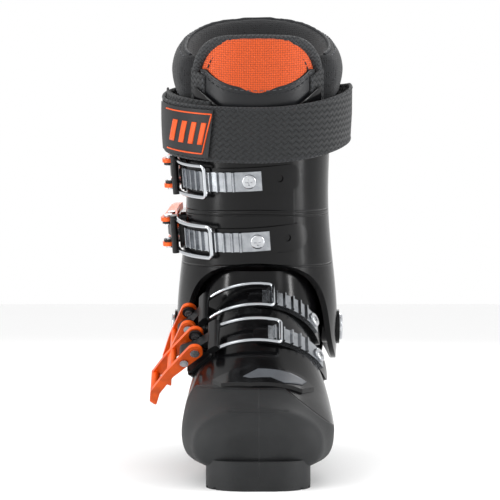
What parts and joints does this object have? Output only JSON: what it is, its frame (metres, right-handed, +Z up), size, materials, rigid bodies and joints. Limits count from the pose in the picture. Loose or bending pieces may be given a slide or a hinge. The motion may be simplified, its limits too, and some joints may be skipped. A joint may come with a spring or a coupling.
{
  "type": "alpine ski boot",
  "caption": "Alpine ski boot: moulded lower shell with a hinged flexing cuff, lever buckles with wire bails on toothed ladders, padded liner, tongue and power strap.",
  "frame": {"origin": "the boot-centre mark on the sole plane, midway between toe and heel", "axes": "+Z up from the sole; -Y towards the toe; -X to the outer side, where the levers are"},
  "size_m": [0.1482, 0.3065, 0.3372],
  "materials": {
    "shell": "polyurethane, matte at the toe and gloss over the instep",
    "cuff": "gloss moulded polyurethane",
    "sole": "matte moulded",
    "board": "matte moulded",
    "trim": "gloss black bezel round a grey inlay",
    "liner": "charcoal mesh over foam",
    "tongue": "orange cloth under a dark overlay",
    "strap": "woven webbing",
    "label": "moulded rubber with orange marks",
    "lever": "orange anodised",
    "bracket": "black powder coat",
    "ladder": "satin cast",
    "wire": "bright",
    "rivet": "satin"
  },
  "bodies": {
    "lower_shell": {"lower_shell": "shell", "toe_plate": "trim", "toe_sole": "sole", "heel_sole": "sole", "toe_sole_screws": "rivet", "heel_sole_screws": "rivet", "boot_board": "board", "pivot_rivet_lateral": "rivet", "pivot_rivet_medial": "rivet", "liner_foot": "liner", "instep_base": "bracket", "instep_base_rivets": "rivet", "instep_pivot_rivets": "rivet", "instep_ladder": "ladder", "instep_ladder_screw": "rivet", "toe_base": "bracket", "toe_base_rivets": "rivet", "toe_pivot_rivets": "rivet", "toe_ladder": "ladder", "toe_ladder_screw": "rivet"},
    "cuff": {"cuff": "cuff", "liner_shaft": "liner", "tongue": "tongue", "power_strap": "strap", "strap_label": "label", "strap_rivets": "rivet", "upper_cuff_base": "bracket", "upper_cuff_base_rivets": "rivet", "upper_cuff_pivot_rivets": "rivet", "upper_cuff_ladder": "ladder", "upper_cuff_ladder_screw": "rivet", "lower_cuff_base": "bracket", "lower_cuff_base_rivets": "rivet", "lower_cuff_pivot_rivets": "rivet", "lower_cuff_ladder": "ladder", "lower_cuff_ladder_screw": "rivet"},
    "upper_cuff_lever": {"upper_cuff_lever": "lever", "upper_cuff_bail_pin": "rivet"},
    "upper_cuff_bail": {"upper_cuff_carrier": "bracket", "upper_cuff_bail_wire": "wire"},
    "lower_cuff_lever": {"lower_cuff_lever": "lever", "lower_cuff_bail_pin": "rivet"},
    "lower_cuff_bail": {"lower_cuff_carrier": "bracket", "lower_cuff_bail_wire": "wire"},
    "instep_lever": {"instep_lever": "lever", "instep_bail_pin": "rivet"},
    "instep_bail": {"instep_carrier": "bracket", "instep_bail_wire": "wire"},
    "toe_lever": {"toe_lever": "lever", "toe_bail_pin": "rivet"},
    "toe_bail": {"toe_carrier": "bracket", "toe_bail_wire": "wire"}
  },
  "joints": [
    {"name": "cuff_flex", "type": "hinge", "parent": "lower_shell", "child": "cuff", "pos_m": [0, 0.062, 0.098], "axis": [1, 0, 0], "range_deg": [0, 7], "stiffness_Nm_per_rad": 80},
    {"name": "upper_cuff_lever_hinge", "type": "hinge", "parent": "cuff", "child": "upper_cuff_lever", "pos_m": [-0.0647, 0.03944, 0.21433], "axis": [-0.0698, -0.2074, 0.9758], "range_deg": [0, 120]},
    {"name": "upper_cuff_bail_hinge", "type": "hinge", "parent": "upper_cuff_lever", "child": "upper_cuff_bail", "pos_m": [-0.06205, 0.05089, 0.21695], "axis": [-0.0698, -0.2074, 0.9758], "range_deg": [-150, 1]},
    {"name": "lower_cuff_lever_hinge", "type": "hinge", "parent": "cuff", "child": "lower_cuff_lever", "pos_m": [-0.06609, 0.04585, 0.17061], "axis": [-0.0698, -0.2074, 0.9758], "range_deg": [0, 120]},
    {"name": "lower_cuff_bail_hinge", "type": "hinge", "parent": "lower_cuff_lever", "child": "lower_cuff_bail", "pos_m": [-0.06405, 0.05742, 0.17321], "axis": [-0.0698, -0.2074, 0.9758], "range_deg": [-150, 1]},
    {"name": "instep_lever_hinge", "type": "hinge", "parent": "lower_shell", "child": "instep_lever", "pos_m": [-0.04989, -0.00674, 0.10637], "axis": [0, 0.7771, 0.6293], "range_deg": [0, 95]},
    {"name": "instep_bail_hinge", "type": "hinge", "parent": "instep_lever", "child": "instep_bail", "pos_m": [-0.05464, 0.00022, 0.09777], "axis": [0, 0.7771, 0.6293], "range_deg": [-118.75, 1]},
    {"name": "toe_lever_hinge", "type": "hinge", "parent": "lower_shell", "child": "toe_lever", "pos_m": [-0.04402, -0.04585, 0.09124], "axis": [0, 0.7771, 0.6293], "range_deg": [0, 120]},
    {"name": "toe_bail_hinge", "type": "hinge", "parent": "toe_lever", "child": "toe_bail", "pos_m": [-0.05164, -0.03998, 0.08399], "axis": [0, 0.7771, 0.6293], "range_deg": [-150, 1]}
  ],
  "couplings": [
    {"joint": "upper_cuff_bail_hinge", "follows": "upper_cuff_lever_hinge", "ratio": -1.2},
    {"joint": "lower_cuff_bail_hinge", "follows": "lower_cuff_lever_hinge", "ratio": -1.2},
    {"joint": "instep_bail_hinge", "follows": "instep_lever_hinge", "ratio": -1.2},
    {"joint": "toe_bail_hinge", "follows": "toe_lever_hinge", "ratio": -1.2}
  ]
}
